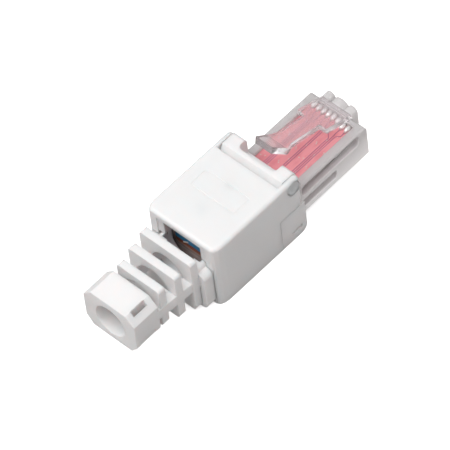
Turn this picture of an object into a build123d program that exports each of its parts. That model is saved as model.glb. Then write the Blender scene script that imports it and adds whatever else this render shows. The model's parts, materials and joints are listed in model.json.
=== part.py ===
from build123d import *
import os
from math import cos, radians, sin, sqrt

os.makedirs("parts", exist_ok=True)

# Field termination plug: a clear modular plug on a red circuit board, held in a white base
# with a hinged cap over the wire terminals and a ribbed bend relief behind it.
# Millimetres. X points to the mating end, Y to the left, Z up.
# While the pieces are made, X is zero at the rear face of the housing. They are written with
# the origin in the middle of the housing's flat underside.

# Housing: base and hinged cap together
housing_height = 14.0
base_front = 20.1
rear_corner_length = 2.0
rear_corner_depth = 1.0
corner_faces = 3
housing_edge_round = 0.6

# Hinged cap
cap_side_wall = 0.9
cap_roof = 1.1
cap_plate_end = 15.6
cap_front = 19.7
ear_corner_radius = 1.0
parting_height = 6.9
parting_x = 14.4
parting_gap = 0.06
rear_wall = 1.6
rear_step_depth = 0.25
collar_pocket_depth = 1.0
window_width = 7.8
window_drop = 1.3
window_corner = 0.7
name_frame_length = 4.0
name_frame_width = 9.6
name_frame_x = 9.4
name_frame_line = 0.35
name_frame_depth = 0.08

# Hinge of the cap
hinge_x = 18.2
hinge_drop = 1.9
hinge_pin_diameter = 2.7
hinge_clearance = 0.07
hinge_pin_setback = 0.5
side_gap = 0.1

# Base
base_floor = 1.3
base_wall = 0.9
base_rear_wall = 0.9
base_wall_height = 8.5
nose_round = 1.5
bar_length = 3.0
bar_corner_radius = 0.8
bar_slope_length = 0.9
bar_slope_drop = 1.5
notch_width = 7.9
notch_length = 2.1
notch_floor_share = 0.4
notch_corner = 0.8
side_recess_length = 2.4
side_recess_height = 0.9
side_recess_depth = 0.35
side_recess_x = 18.0
side_recess_z = 1.75

# Bend relief
root_length = 2.0
root_height = 8.7
root_bottom = 0.5
root_corner = 1.2
root_gap = 0.3
collar_side_wall = 1.3
collar_height = 9.3
collar_corner = 1.1
collar_reach = 0.9
flange_step = 0.4
flange_length = 1.1
flange_height = 8.0
cable_axis_z = 7.5
cable_bore = 6.2
rib_bore = 6.7
entry_bore = 8.8
rib_count = 3
rib_pitch = 3.3
rib_thickness = 1.45
first_rib_x = -3.65
first_rib_width = 10.9
first_rib_bottom = 1.3
first_rib_top = 12.75
last_rib_width = 9.0
last_rib_shift = 0.35
last_rib_bottom = 3.6
last_rib_top = 12.2
rib_corner = 0.6
spine_bottom = 6.0
spine_top = 8.1
block_length = 5.4
block_rear = -16.7
block_width = 10.9
block_bottom = 3.3
block_top = 11.9
block_top_chamfer_y = 1.7
block_top_chamfer_z = 1.7
block_low_chamfer_y = 1.35
block_low_chamfer_z = 1.7
tie_slot_length = 3.0
tie_slot_width = 0.8
tie_slot_wall = 0.55
tie_recess_length = 3.3
tie_recess_height = 2.4
tie_recess_depth = 0.2

# Clear modular plug
board_margin = 0.57
plug_side_wall = 1.09
plug_height = 6.6
plug_bottom = 1.7
plug_front = 36.5
plug_tongue_length = 4.9
plug_tongue_wall = 0.55
plug_column = 1.05
plug_fit = 0.05
plug_top_chamfer = 0.6
rail_chamfer = 0.3
plug_floor = 1.2
rail_width = 1.5
window_front_wall = 1.3
comb_length = 6.4
nose_length = 1.5
nose_width = 6.5
nose_shift = 0.6
nose_depth = 3.2
middle_lobe_width = 2.9
lobe_rise = 0.5
lobe_length = 2.1
slot_start = 21.2
upper_slot_end = 34.6
upper_slot_bottom = 5.55
upper_slot_top = 7.85
lower_slot_end = 29.2
lower_slot_bottom = 2.75
lower_slot_top = 4.6
slot_overrun = 0.05

# Latch lever
lever_thickness = 1.2
lever_root_radius = 0.6
lever_root_fit = 0.05
lever_root_x = 35.7
lever_root_rise = 0.65
lever_shoulder_x = 30.4
lever_shoulder_z = 11.5
lever_neck_x = 22.8
lever_neck_z = 13.5
lever_tip_x = 19.8
lever_tip_z = 16.5
lever_width = 6.2
lever_neck_width = 3.25
lever_tab_width = 4.3
lever_tip_width = 3.2
lever_corner = 0.25

# Circuit board, contacts and wire terminals
board_thickness = 1.2
board_top = 7.5
board_rear = 4.2
board_front = 35.1
board_side_gap = 0.1
way_count = 8
contact_pitch = 1.02
contact_thickness = 0.35
contact_slot_gap = 0.05
contact_row_x = 34.5
contact_length = 5.0
contact_height = 3.0
contact_setback = 0.3
pin_width = 0.4
pin_hole = 0.7
terminal_pin_gap = 0.05
solder_diameter = 0.9
solder_height = 0.45
solder_taper = 25
solder_sides = 8
wire_side_margin = 0.42
terminal_rear_row = 6.4
terminal_row_pitch = 4.0
terminal_thickness = 0.35
terminal_width = 1.7
terminal_rise = 1.1
terminal_slot = 0.4
terminal_slot_share = 0.56
terminal_fit = 0.1
wire_groove = 1.1

# Terminal block under the wires and load bar over them
block_skirt_x = 3.0
block_skirt_thickness = 1.0
block_front = 13.2
terminal_block_share = 0.52
load_bar_rear = 3.6
load_bar_front = 12.9
load_bar_gap = 0.3
load_bar_pocket = 0.25
peg_diameter = 1.6
peg_height = 0.5
label_thickness = 0.08
label_width = 9.6
label_bottom = 4.0
label_top = 8.4
label_corner = 0.8

# Widths, worked out from the row of contacts outwards: board, plug, base, cap
board_front_half = way_count * contact_pitch / 2 + board_margin
cavity_half = board_front_half + board_side_gap
plug_half = cavity_half + plug_side_wall
tongue_half = cavity_half + plug_tongue_wall
base_half = tongue_half + plug_fit + plug_column
base_inner_half = base_half - base_wall
cap_inner_half = base_half + side_gap
half_housing = cap_inner_half + cap_side_wall
rear_half = half_housing - rear_corner_depth
collar_half = base_half - collar_side_wall
flange_half = base_inner_half + flange_step
board_rear_half = base_inner_half - board_side_gap
wire_pitch = 2 * (base_inner_half - wire_side_margin) / way_count
window_half = plug_half - rail_width

# Other sizes worked out from the ones above
roof_under = housing_height - cap_roof
window_top = housing_height - window_drop
hinge_z = housing_height - hinge_drop
terminal_block_top = board_top + terminal_block_share * (roof_under - board_top)
terminal_top = terminal_block_top + terminal_rise
terminal_slot_depth = terminal_slot_share * (terminal_top - board_top)
plug_top = plug_bottom + plug_height
notch_floor = plug_top + notch_floor_share * (housing_height - plug_top)
slot_depth = plug_side_wall + slot_overrun
tongue_rear = base_front - plug_tongue_length
board_bottom = board_top - board_thickness
comb_rear = plug_front - comb_length
bar_front = base_front - 0.3
bar_rear = bar_front - bar_length
lever_root_z = plug_top + lever_root_rise
terminal_rows = (terminal_rear_row, terminal_rear_row + terminal_row_pitch)
block_front_x = block_rear + block_length
underside_middle = (base_front - nose_round) / 2


def block(x0, x1, y0, y1, z0, z1):
    """A rectangular block between two opposite corners."""
    middle = Pos((x0 + x1) / 2, (y0 + y1) / 2, (z0 + z1) / 2)
    return middle * Box(x1 - x0, y1 - y0, z1 - z0)


def centred(x0, x1, half, z0, z1):
    """A block that is symmetric about the middle plane."""
    return block(x0, x1, -half, half, z0, z1)


def side_prism(outline, half):
    """A closed outline of edges in X and Z, extruded to both sides of the middle plane."""
    return extrude(Plane.XZ * make_face(outline), half, both=True)


def plan_prism(points, z0, z1):
    """A closed outline of points in X and Y, extruded upwards."""
    return Pos(0, 0, z0) * extrude(make_face(Polyline(*points, close=True)), z1 - z0)


def cross_bar(radius, x0, x1, z):
    """A round bar or bore along X."""
    middle = Pos((x0 + x1) / 2, 0, z)
    return middle * Rot(0, 90, 0) * Cylinder(radius, x1 - x0)


def axle(radius, x, z, y0, y1):
    """A round pin or hole along Y."""
    middle = Pos(x, (y0 + y1) / 2, z)
    return middle * Rot(90, 0, 0) * Cylinder(radius, y1 - y0)


def rounded_plate(x0, x1, width, z0, z1, corner):
    """A plate across X with rounded corners."""
    outline = RectangleRounded(width, z1 - z0, corner)
    return Pos(x0, 0, (z0 + z1) / 2) * extrude(Plane.YZ * outline, x1 - x0)


def mirrored(solid):
    """A solid and its mirror image on the other side."""
    return solid + mirror(solid, Plane.XZ)


def way_y(number, pitch):
    """Side position of one of the eight ways, counted from the right."""
    return (number - (way_count - 1) / 2) * pitch


def terminal_x(number):
    """The wire terminals stand in two staggered rows."""
    return terminal_rows[number % 2]


def cap_outline():
    """Side outline of the cap: an arc round the hinge lets the ear swing past the base."""
    swing = hinge_z - parting_height
    ear_reach = cap_front - hinge_x
    ear_foot = hinge_z - sqrt(swing ** 2 - ear_reach ** 2)
    half_turn = radians(45)
    swing_middle = (ear_reach / swing) / 2
    arc_x = hinge_x + swing * sin(swing_middle)
    arc_z = hinge_z - swing * cos(swing_middle)
    corner_x = cap_front - ear_corner_radius
    corner_z = housing_height - ear_corner_radius
    corner_middle = (corner_x + ear_corner_radius * sin(half_turn), corner_z + ear_corner_radius * cos(half_turn))
    lines = Polyline((hinge_x, parting_height), (parting_x, parting_height), (parting_x, 0), (0, 0),
                     (0, housing_height), (corner_x, housing_height))
    corner = ThreePointArc((corner_x, housing_height), corner_middle, (cap_front, corner_z))
    front = Line((cap_front, corner_z), (cap_front, ear_foot))
    foot = ThreePointArc((cap_front, ear_foot), (arc_x, arc_z), (hinge_x, parting_height))
    return lines + corner + front + foot


def cap_plan():
    """Plan of the cap: short faces along a slow curve draw in each rear corner."""
    left = []
    for number in range(corner_faces + 1):
        turn = radians(90 * number / corner_faces)
        left.append((rear_corner_length * (1 - cos(turn)), rear_half + rear_corner_depth * sin(turn)))
    right = [(x, -y) for x, y in reversed(left)]
    return make_face(Polyline(*left, (cap_front, half_housing), (cap_front, -half_housing), *right, close=True))


def make_hinged_cap():
    """The lid: roof, side walls, rear wall with the cable window and two hinge ears."""
    cap = side_prism(cap_outline(), half_housing) & extrude(cap_plan(), housing_height + 1)
    top_edges = cap.edges().filter_by_position(Axis.Z, housing_height - 0.01, housing_height + 0.01)
    rounded = top_edges.filter_by(lambda edge: edge.center().X < cap_front - ear_corner_radius)
    cap = fillet(rounded, housing_edge_round)
    cap -= centred(rear_wall, cap_plate_end + 1, cap_inner_half, -1, roof_under)
    cap -= centred(-1, rear_wall + 1, cap_inner_half, -1, root_height + side_gap)
    cap -= centred(cap_plate_end, cap_front + 1, cap_inner_half, -1, housing_height + 1)
    recess_foot = root_height - 1
    cap -= centred(-1, rear_step_depth, collar_half + side_gap, recess_foot, window_top)
    cap -= centred(-1, collar_pocket_depth, collar_half + side_gap, recess_foot, collar_height + side_gap)
    cap -= rounded_plate(-1, rear_wall + 1, window_width, recess_foot - 2, window_top, window_corner)
    hole = axle(hinge_pin_diameter / 2 + hinge_clearance, hinge_x, hinge_z, -2 * half_housing, 2 * half_housing)
    cap -= hole
    for x in (load_bar_rear + peg_diameter, load_bar_front - peg_diameter):
        cap -= Pos(x, 0, roof_under) * Cylinder(peg_diameter / 2 + plug_fit, 2 * (peg_height + plug_fit))
    frame = RectangleRounded(name_frame_length, name_frame_width, name_frame_line * 2)
    frame -= RectangleRounded(name_frame_length - 2 * name_frame_line, name_frame_width - 2 * name_frame_line,
                              name_frame_line)
    cap -= Pos(name_frame_x, 0, housing_height - name_frame_depth) * extrude(frame, 1)
    return cap


def make_base():
    """The lower housing: tray, front block round the plug tongue, and the hinge bar."""
    tray = centred(0, parting_x + 1, base_half, 0, base_wall_height)
    tray -= centred(base_rear_wall, board_rear, base_inner_half, base_floor, housing_height)
    tray -= centred(board_rear - 1, parting_x + 2, base_inner_half, board_bottom, housing_height)
    tray -= centred(-1, base_rear_wall + 1, collar_half + plug_fit, base_floor, housing_height)
    flange_end = collar_reach + flange_length
    tray -= centred(base_rear_wall, flange_end + plug_fit, flange_half + plug_fit, base_floor, housing_height)

    lower = Polyline((parting_x + parting_gap, parting_height - parting_gap), (parting_x + parting_gap, 0),
                     (base_front - nose_round, 0))
    curve_middle = (base_front - nose_round + nose_round * sin(radians(45)),
                    nose_round - nose_round * cos(radians(45)))
    curve = ThreePointArc((base_front - nose_round, 0), curve_middle, (base_front, nose_round))
    face = Polyline((base_front, nose_round), (base_front, parting_height - parting_gap),
                    (parting_x + parting_gap, parting_height - parting_gap))
    front = side_prism(lower + curve + face, half_housing)

    middle = (bar_front - bar_corner_radius * (1 - cos(radians(45))),
              housing_height - bar_corner_radius * (1 - sin(radians(45))))
    bar_low = Polyline((bar_front, housing_height - bar_corner_radius), (bar_front, base_floor),
                       (bar_rear, base_floor), (bar_rear, plug_top + 1),
                       (bar_rear - bar_slope_length, housing_height - bar_slope_drop - 1),
                       (bar_rear - bar_slope_length, housing_height - bar_slope_drop),
                       (bar_rear, housing_height), (bar_front - bar_corner_radius, housing_height))
    bar_round = ThreePointArc((bar_front - bar_corner_radius, housing_height), middle,
                              (bar_front, housing_height - bar_corner_radius))
    bar = side_prism(bar_low + bar_round, base_half)
    notch = Pos(bar_front, 0, notch_floor) * extrude(RectangleRounded(2 * notch_length, notch_width, notch_corner),
                                                     housing_height)
    bar -= notch

    base = tray + front + bar
    passage_half = tongue_half + plug_fit
    base -= centred(tongue_rear - 1, base_front + 1, passage_half, plug_bottom - plug_fit, plug_top + plug_fit)
    base -= centred(board_rear, tongue_rear, base_inner_half, board_bottom, plug_top + plug_fit)
    pin_end = half_housing - hinge_pin_setback
    base += mirrored(axle(hinge_pin_diameter / 2, hinge_x, hinge_z, base_half - 0.2, pin_end))
    recess = Pos(side_recess_x, half_housing, side_recess_z) * Rot(90, 0, 0) * extrude(
        SlotOverall(side_recess_length, side_recess_height), side_recess_depth, both=True)
    base -= mirrored(recess)
    return base


def rib_sizes(number):
    """Width, shift to the right, foot and top of one rib: they get smaller away from the housing."""
    share = number / (rib_count - 1)
    width = first_rib_width + (last_rib_width - first_rib_width) * share
    shift = last_rib_shift * share
    foot = first_rib_bottom + (last_rib_bottom - first_rib_bottom) * share
    top = first_rib_top + (last_rib_top - first_rib_top) * share
    return width, shift, foot, top


def end_block():
    """The eight-sided block at the cable end: a slot down its right side takes a cable tie."""
    half = block_width / 2
    top_half = half - block_top_chamfer_y
    low_half = half - block_low_chamfer_y
    right = [(top_half, block_top), (half, block_top - block_top_chamfer_z),
             (half, block_bottom + block_low_chamfer_z), (low_half, block_bottom)]
    left = [(-y, z) for y, z in reversed(right)]
    outline = make_face(Polyline(*right, *left, close=True))
    body = Pos(block_rear, 0, 0) * extrude(Plane.YZ * outline, block_length)
    slot_x = (block_rear + block_front_x) / 2
    slot_y = -(cable_bore / 2 + tie_slot_wall + tie_slot_width / 2)
    body -= Pos(slot_x, slot_y, cable_axis_z) * Box(tie_slot_length, tie_slot_width, 2 * block_top)
    recess_x = tie_recess_length / 2
    recess_y = half - tie_recess_depth
    recess = block(slot_x - recess_x, slot_x + recess_x, recess_y, half + 1, block_bottom - 1,
                   block_bottom + tie_recess_height)
    return body - mirrored(recess)


def make_bend_relief():
    """The tail: root plate with its collar and flange, three ribs on two spines, end block."""
    relief = rounded_plate(-root_length, 0, 2 * rear_half, root_bottom, root_height, root_corner)
    relief += rounded_plate(-root_length, collar_reach, 2 * collar_half, base_floor + plug_fit, collar_height,
                            collar_corner)
    relief += centred(collar_reach, collar_reach + flange_length, flange_half, base_floor + plug_fit, flange_height)
    spine_root = first_rib_width / 2
    spine_end = last_rib_width / 2
    spine_plan = [(-root_length, spine_root), (block_front_x, spine_end - last_rib_shift),
                  (block_front_x, -spine_end - last_rib_shift), (-root_length, -spine_root)]
    relief += plan_prism(spine_plan, spine_bottom, spine_top)
    for number in range(rib_count):
        width, shift, foot, top = rib_sizes(number)
        rear = first_rib_x - number * rib_pitch
        relief += Pos(0, -shift, 0) * rounded_plate(rear, rear + rib_thickness, width, foot, top, rib_corner)
    relief += end_block()
    relief -= cross_bar(cable_bore / 2, block_rear - 1, block_front_x + 1, cable_axis_z)
    relief -= cross_bar(rib_bore / 2, block_front_x, collar_reach + flange_length + 1, cable_axis_z)
    relief -= cross_bar(entry_bore / 2, -root_gap, collar_reach + flange_length + 1, cable_axis_z)
    return relief


def contact_slots():
    """The eight slots for the contact blades and the holes above them for their pins."""
    slots = []
    for number in range(way_count):
        y = way_y(number, contact_pitch)
        half = contact_thickness / 2 + contact_slot_gap
        top = plug_bottom + contact_setback + contact_height + contact_slot_gap
        rear = plug_front - contact_setback - contact_length - contact_slot_gap
        slots.append(block(rear, plug_front + 1, y - half, y + half, plug_bottom - 1, top))
        pin_half = pin_width / 2 + contact_slot_gap
        slots.append(block(contact_row_x - pin_half, contact_row_x + pin_half, y - half, y + half, top - 1,
                           board_bottom + 1))
    return slots


def make_nose():
    """The nose in front of the shell, with a wide lobe between two narrow ones, left of the middle."""
    nose_front = plug_front + nose_length
    lobe_foot = plug_top - lobe_rise
    nose = centred(plug_front - 1, nose_front, nose_width / 2, plug_top - nose_depth, lobe_foot)
    side_width = (nose_width - middle_lobe_width) / 2
    side_y = (nose_width - side_width) / 2
    for y, width in ((-side_y, side_width), (0, middle_lobe_width), (side_y, side_width)):
        radius = (width ** 2 / 4 + 4 * lobe_rise ** 2) / (4 * lobe_rise)
        lobe = cross_bar(radius, nose_front - lobe_length, nose_front, plug_top + lobe_rise - radius)
        strip = centred(nose_front - lobe_length, nose_front, width / 2, lobe_foot - 0.3, plug_top + 1)
        nose += Pos(0, y, 0) * (lobe & strip)
    return Pos(0, nose_shift, 0) * nose


def make_plug_shell():
    """The clear shell: rails beside the open top, slotted sides, contact comb and lobed nose."""
    shell = centred(base_front, plug_front, plug_half, plug_bottom, plug_top)
    front_edge = shell.edges().filter_by(Axis.Y).group_by(Axis.X)[-1].sort_by(Axis.Z)[-1]
    shell = chamfer(front_edge, plug_top_chamfer)
    shell = chamfer(shell.edges().filter_by(Axis.X).group_by(Axis.Z)[-1], rail_chamfer)
    shell += centred(tongue_rear, base_front, tongue_half, plug_bottom, plug_top)
    shell += make_nose()
    seat_front = plug_front + nose_length - lobe_length
    shell += centred(lever_root_x, seat_front + 0.1, lever_width / 2, plug_top - 0.2, lever_root_z - 0.15)
    shell -= centred(tongue_rear - 1, comb_rear, cavity_half, plug_bottom + plug_floor, board_top + plug_fit)
    shell -= centred(tongue_rear - 1, board_front + plug_fit, cavity_half, board_bottom, board_top + plug_fit)
    shell -= centred(tongue_rear - 1, plug_front - window_front_wall, window_half, board_bottom, plug_top + 1)
    for slot in contact_slots():
        shell -= slot
    shell -= mirrored(side_slot(upper_slot_end, upper_slot_bottom, upper_slot_top))
    shell -= mirrored(side_slot(lower_slot_end, lower_slot_bottom, lower_slot_top))
    groove_radius = lever_root_radius + lever_root_fit
    shell -= axle(groove_radius, lever_root_x, lever_root_z, -lever_width / 2 - 0.1, lever_width / 2 + 0.1)
    return shell


def side_slot(x1, z0, z1):
    """A long slot with a rounded rear end, sunk into one side of the shell."""
    length = x1 - slot_start
    height = z1 - z0
    slot = Pos((slot_start + x1) / 2, plug_half, (z0 + z1) / 2) * Rot(90, 0, 0)
    return slot * extrude(RectangleRounded(length, height, height * 0.3), slot_depth, both=True)


def lever_outline():
    """Side outline of the lever: up from the root, along the neck, and the kick of the thumb tab."""
    root = (lever_root_x, lever_root_z + lever_root_radius)
    drop = lever_thickness
    top = [root, (lever_shoulder_x, lever_shoulder_z), (lever_neck_x, lever_neck_z), (lever_tip_x, lever_tip_z)]
    under = [(lever_tip_x - 0.35, lever_tip_z - drop * 1.2), (lever_neck_x - 0.45, lever_neck_z - drop),
             (lever_shoulder_x, lever_shoulder_z - drop), (lever_root_x, lever_root_z - lever_root_radius)]
    return Polyline(*top, *under, close=True)


def make_latch_lever():
    """The latch: a bar with square shoulders, a narrow neck and a thumb tab."""
    root_half = lever_width / 2
    neck_half = lever_neck_width / 2
    tab_half = lever_tab_width / 2
    tip_half = lever_tip_width / 2
    lever = side_prism(lever_outline(), root_half)
    lever += axle(lever_root_radius, lever_root_x, lever_root_z, -root_half, root_half)
    front = lever_root_x + lever_root_radius
    left = [(front + 1, root_half), (lever_shoulder_x, root_half), (lever_shoulder_x, neck_half),
            (lever_neck_x + 1.2, neck_half), (lever_neck_x - 0.2, tab_half), (lever_tip_x - 1, tip_half)]
    right = [(x, -y) for x, y in reversed(left)]
    plan = plan_prism(left + right, 0, 2 * housing_height)
    corners = plan.edges().filter_by(Axis.Z).filter_by(lambda edge: lever_neck_x - 1 < edge.center().X < front)
    plan = fillet(corners, lever_corner)
    return lever & plan


def make_board():
    """The circuit board, wider behind the plug, with holes for the pins."""
    step = tongue_rear - board_side_gap
    board = centred(board_rear, step, board_rear_half, board_bottom, board_top)
    board += centred(step, board_front, board_front_half, board_bottom, board_top)
    for number in range(way_count):
        pin_slot = Box(pin_hole, pin_hole, 3 * board_thickness)
        board -= Pos(contact_row_x, way_y(number, contact_pitch), board_top) * pin_slot
        slot_length = terminal_thickness + 2 * terminal_pin_gap
        slot_width = pin_width + 2 * terminal_pin_gap
        slot = Box(slot_length, slot_width, 3 * board_thickness)
        board -= Pos(terminal_x(number), way_y(number, wire_pitch), board_top) * slot
    return board


def make_contact(number):
    """One contact: a blade in the comb, and a pin through the board with its solder."""
    y = way_y(number, contact_pitch)
    half = contact_thickness / 2
    front = plug_front - contact_setback
    foot = plug_bottom + contact_setback
    blade = block(front - contact_length, front, y - half, y + half, foot, foot + contact_height)
    crown = blade.edges().filter_by(Axis.Y).group_by(Axis.Z)[0]
    blade = fillet(crown, contact_length / 6)
    pin = block(contact_row_x - pin_width / 2, contact_row_x + pin_width / 2, y - half, y + half,
                foot + contact_height - 1, board_top + solder_height / 2)
    foot_outline = RegularPolygon(solder_diameter / 2, solder_sides)
    solder = Pos(contact_row_x, y, board_top) * extrude(foot_outline, solder_height, taper=solder_taper)
    return blade + pin + solder


def make_terminal(number):
    """One insulation-displacing terminal: a forked plate on the board with a pin below."""
    y = way_y(number, wire_pitch)
    x = terminal_x(number)
    half = terminal_thickness / 2
    plate = block(x - half, x + half, y - terminal_width / 2, y + terminal_width / 2, board_top, terminal_top)
    plate -= block(x - 1, x + 1, y - terminal_slot / 2, y + terminal_slot / 2, terminal_top - terminal_slot_depth,
                   terminal_top + 1)
    mouth = [(y - terminal_slot, terminal_top + 0.01), (y + terminal_slot, terminal_top + 0.01),
             (y, terminal_top - 2 * terminal_slot)]
    plate -= extrude(Plane.YZ * make_face(Polyline(*mouth, close=True)), x + 1, dir=(1, 0, 0))
    pin = block(x - half, x + half, y - pin_width / 2, y + pin_width / 2, board_bottom, board_top)
    return plate + pin


def terminal_pockets(z0, z1, gap):
    """Clearance pockets round the eight terminals."""
    pockets = []
    for number in range(way_count):
        y = way_y(number, wire_pitch)
        x = terminal_x(number)
        half = terminal_thickness / 2 + gap
        side = terminal_width / 2 + gap
        pockets.append(block(x - half, x + half, y - side, y + side, z0, z1))
    return pockets


def wire_grooves(x0, x1, z):
    """Round channels along X for the eight wires."""
    grooves = []
    for number in range(way_count):
        grooves.append(Pos(0, way_y(number, wire_pitch), 0) * cross_bar(wire_groove / 2, x0, x1, z))
    return grooves


def make_terminal_block():
    """The block that holds the terminals, with a skirt behind the board."""
    half = base_inner_half - board_side_gap
    body = centred(block_skirt_x, block_front, half, board_top, terminal_block_top)
    body += centred(block_skirt_x, block_skirt_x + block_skirt_thickness, half, base_floor, board_top + 1)
    for groove in wire_grooves(block_skirt_x - 1, block_front + 1, terminal_block_top):
        body -= groove
    for pocket in terminal_pockets(board_top - 1, terminal_top + 1, terminal_fit):
        body -= pocket
    return body


def make_load_bar():
    """The bar in the cap that presses the wires into the terminals, on two pegs."""
    foot = terminal_block_top + load_bar_gap
    half = base_half - load_bar_gap
    bar = centred(load_bar_rear, load_bar_front, half, foot, roof_under)
    for groove in wire_grooves(load_bar_rear - 1, load_bar_front + 1, foot):
        bar -= groove
    for pocket in terminal_pockets(foot - 1, terminal_top + load_bar_gap, load_bar_pocket):
        bar -= pocket
    for x in (load_bar_rear + peg_diameter, load_bar_front - peg_diameter):
        peg = Cylinder(peg_diameter / 2, peg_height, align=(Align.CENTER, Align.CENTER, Align.MIN))
        bar += Pos(x, 0, roof_under) * peg
    return bar


def make_label():
    """The wiring colour label on the rear face of the terminal block."""
    return rounded_plate(block_skirt_x - label_thickness, block_skirt_x, label_width, label_bottom, label_top,
                         label_corner)


parts = {
    "base": make_base(),
    "hinged_cap": make_hinged_cap(),
    "bend_relief": make_bend_relief(),
    "plug_shell": make_plug_shell(),
    "latch_lever": make_latch_lever(),
    "circuit_board": make_board(),
    "terminal_block": make_terminal_block(),
    "load_bar": make_load_bar(),
    "wiring_label": make_label(),
}
for number in range(way_count):
    parts[f"contact_{number + 1}"] = make_contact(number)
    parts[f"wire_terminal_{number + 1}"] = make_terminal(number)

for name, solid in parts.items():
    export_step(Pos(-underside_middle, 0, 0) * solid, f"parts/{name}.step")
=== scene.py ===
import bpy
import json
from math import cos, pi, radians, sin
from mathutils import Matrix, Vector


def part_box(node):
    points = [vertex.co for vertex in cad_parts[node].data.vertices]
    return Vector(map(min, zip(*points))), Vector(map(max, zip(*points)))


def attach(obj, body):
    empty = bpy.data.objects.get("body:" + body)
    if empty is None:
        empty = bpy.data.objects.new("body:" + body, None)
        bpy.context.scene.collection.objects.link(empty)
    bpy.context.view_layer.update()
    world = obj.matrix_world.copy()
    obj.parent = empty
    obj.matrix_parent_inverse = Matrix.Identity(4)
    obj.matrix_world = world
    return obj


bl_info = {
    "name": "Field termination plug dressing",
    "version": (1, 0, 0),
    "blender": (4, 5, 0),
    "location": "3D View > Sidebar > Field Plug",
    "description": "Gives a modular field plug its plastics, board, solder, contacts and studio",
    "category": "Object",
}

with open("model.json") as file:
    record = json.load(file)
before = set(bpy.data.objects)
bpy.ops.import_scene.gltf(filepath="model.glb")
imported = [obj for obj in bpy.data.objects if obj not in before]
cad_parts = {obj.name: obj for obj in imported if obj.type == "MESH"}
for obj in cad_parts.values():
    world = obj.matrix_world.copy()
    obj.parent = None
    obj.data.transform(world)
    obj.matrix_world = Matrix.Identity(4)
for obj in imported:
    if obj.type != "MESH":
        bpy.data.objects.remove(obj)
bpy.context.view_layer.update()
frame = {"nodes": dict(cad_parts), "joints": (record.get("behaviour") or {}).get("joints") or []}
MM = 0.001
WAYS = 8
BOARD_LOW, BOARD_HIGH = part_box("circuit_board")
CONTACT_LOW, CONTACT_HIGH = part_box("contact_1")
FAR_CONTACT_LOW, FAR_CONTACT_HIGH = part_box(f"contact_{WAYS}")
CONTACT_PITCH = (FAR_CONTACT_LOW.y - CONTACT_LOW.y) / (WAYS - 1)
LABEL_LOW, LABEL_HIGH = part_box("wiring_label")
BASE_LOW, BASE_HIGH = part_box("base")
CAP_LOW, CAP_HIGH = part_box("hinged_cap")
HINGE = Vector(next(joint["pos_m"] for joint in frame["joints"] if joint["name"] == "cap_open"))

# The camera's turns in degrees (round the object, up, about its own axis), and its place
CAMERA_TURNS = (-40.878, 52.603, -8.044)
CAMERA_TARGET = Vector((0.047, -0.091, 5.621)) * MM
CAMERA_DISTANCE = 1.0192
CAMERA_LENS = 518.45
CAMERA_SENSOR = 36.0

# Kinds of sockets in the shader groups
NUMBER = "NodeSocketFloat"
PLACE = "NodeSocketVector"

# Numbers of a Mix node's two entries, for vectors and for colours, and of its results
VECTOR_ENTRIES = (4, 5)
COLOUR_ENTRIES = (6, 7)
VECTOR_RESULT = 1
COLOUR_RESULT = 2

# How far a hinge pin, and the rim and the middle of its dished end, lie below the cap's side
PIN_SETBACK = 0.5 * MM
PIN_DEPTH = 0.1 * MM
DISH_DEPTH = 0.32 * MM

# The rings of the dish as shares of its radius, how steeply it falls, the tiny hole in its middle,
# the steps round it and the angle in degrees from which an edge is sharp
DISH_RINGS = (1.0, 0.92, 0.8, 0.62, 0.4)
DISH_POWER = 3
DISH_MIDDLE = 0.01 * MM
TURN_STEPS = 64
SHARP_ANGLE = 40

# The space inside the housing, where the plastic gets a darker, warmer colour as painted shade
PAINTED_SHADE_LOW = Vector((CAP_LOW.x + 0.45 * MM, CAP_LOW.y + 1.6 * MM, BASE_LOW.z + 0.6 * MM))
PAINTED_SHADE_HIGH = Vector((HINGE.x - 4 * MM, CAP_HIGH.y - 1.6 * MM, CAP_HIGH.z - 0.9 * MM))

# The part of the roof that carries the bare name frame
NAME_FRAME_LOW = Vector((-2.6 * MM, -5.4 * MM, CAP_HIGH.z - 0.3 * MM))
NAME_FRAME_HIGH = Vector((2.8 * MM, 5.4 * MM, CAP_HIGH.z + 0.3 * MM))

# Where milky plastic gets a painted glow (emission) in place of the light it carries: from the skin
# of its sides and from its front end inwards, with the share that the core and the front end get
SKIN_START = 0.3 * MM
SKIN_END = 0.1 * MM
CORE_SHARE = 0.3
FRONT_START = 2.4 * MM
FRONT_END = 1.2 * MM
FRONT_SHARE = 0.36
GLOW_COLOUR = (1.0, 0.97, 0.965)

# The print on the wiring label, against the label's lower left corner, and its pale wedge
LABEL_SIDE_MARGIN = 0.12 * MM
LABEL_LOW_MARGIN = 0.7 * MM
LABEL_CORNER = 0.7 * MM
LABEL_OUTLINE = 0.09 * MM
LABEL_BROWN = 0.95 * MM
WEDGE_SIDE = 2.4 * MM
WEDGE_HEIGHT = 5.7 * MM
WEDGE_SLOPE = 0.6
WEDGE_STRIPE = 0.2 * MM
WEDGE_REACH = 0.6 * MM

# How far the floor lies below the underside, so that the two don't share a plane, and up to which
# length rays pass through the floor, so that it doesn't darken the underside
FLOOR_GAP = 0.01 * MM
FLOOR_PASS = 10 * FLOOR_GAP

# Bundles of tracks on the board: the middle of each, and how many tracks it has
TRACK_BUNDLES = ((-2.6 * MM, 3), (-0.5 * MM, 2), (2.2 * MM, 3))

# In millimetres: how far the solder row lies from the board's front edge, how far from the row the
# tracks bend, by how much and in how many steps the bends are staggered, and how far inside the
# housing the tracks end
ROW_SETBACK = 0.6
TRACK_BEND = 1.6
TRACK_STAGGER = 0.35
TRACK_STEPS = 3
TRACK_END = 2.0

# The plated holes: how many a way has, how far the first lies from the solder row and how long a
# step is in millimetres, by how many steps of how many the next hole is on, and the lanes of a way
VIAS_PER_WAY = 6
VIA_FIRST = 1.7
VIA_STEP = 0.31
VIA_STRIDE = 17
VIA_STEPS = 37
VIA_LANES = 5
VIA_HEIGHT = 0.03 * MM

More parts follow.
